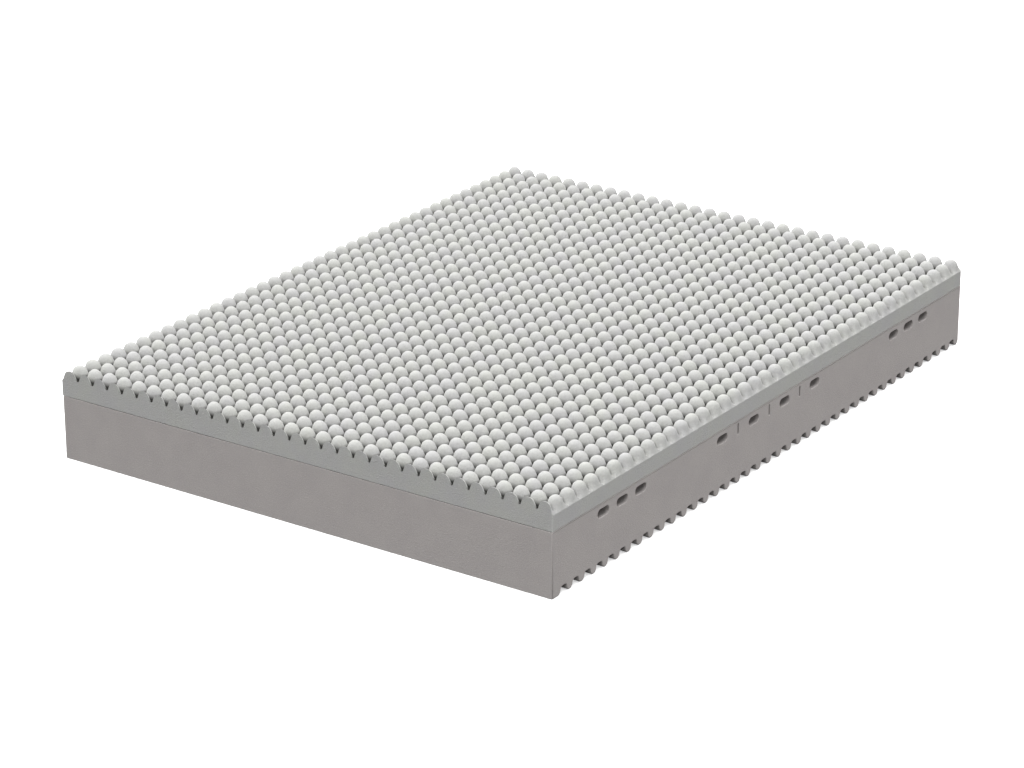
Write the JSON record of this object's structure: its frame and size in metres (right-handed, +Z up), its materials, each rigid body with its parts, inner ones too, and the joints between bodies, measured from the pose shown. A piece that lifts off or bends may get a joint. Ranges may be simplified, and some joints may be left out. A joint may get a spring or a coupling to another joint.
{
  "type": "pressure relief mattress core",
  "caption": "Foam mattress core with a domed comfort layer glued on a support block that has air channels through it and ribs underneath.",
  "frame": {"origin": "middle of the underside, on the plane of the rib crests that the mattress rests on", "axes": "+X along the length, away from the end that cuts through the first row of domes; +Y across the width; +Z up, out of the domed lying surface"},
  "size_m": [2, 1.5, 0.2465],
  "materials": {
    "comfort_foam": "matt open-cell foam, pale grey",
    "support_foam": "matt open-cell foam, warm grey",
    "glue": "thin satin glue film"
  },
  "bodies": {
    "root": {"comfort_layer": "comfort_foam", "support_block": "support_foam", "glue_film": "glue"}
  },
  "joints": []
}
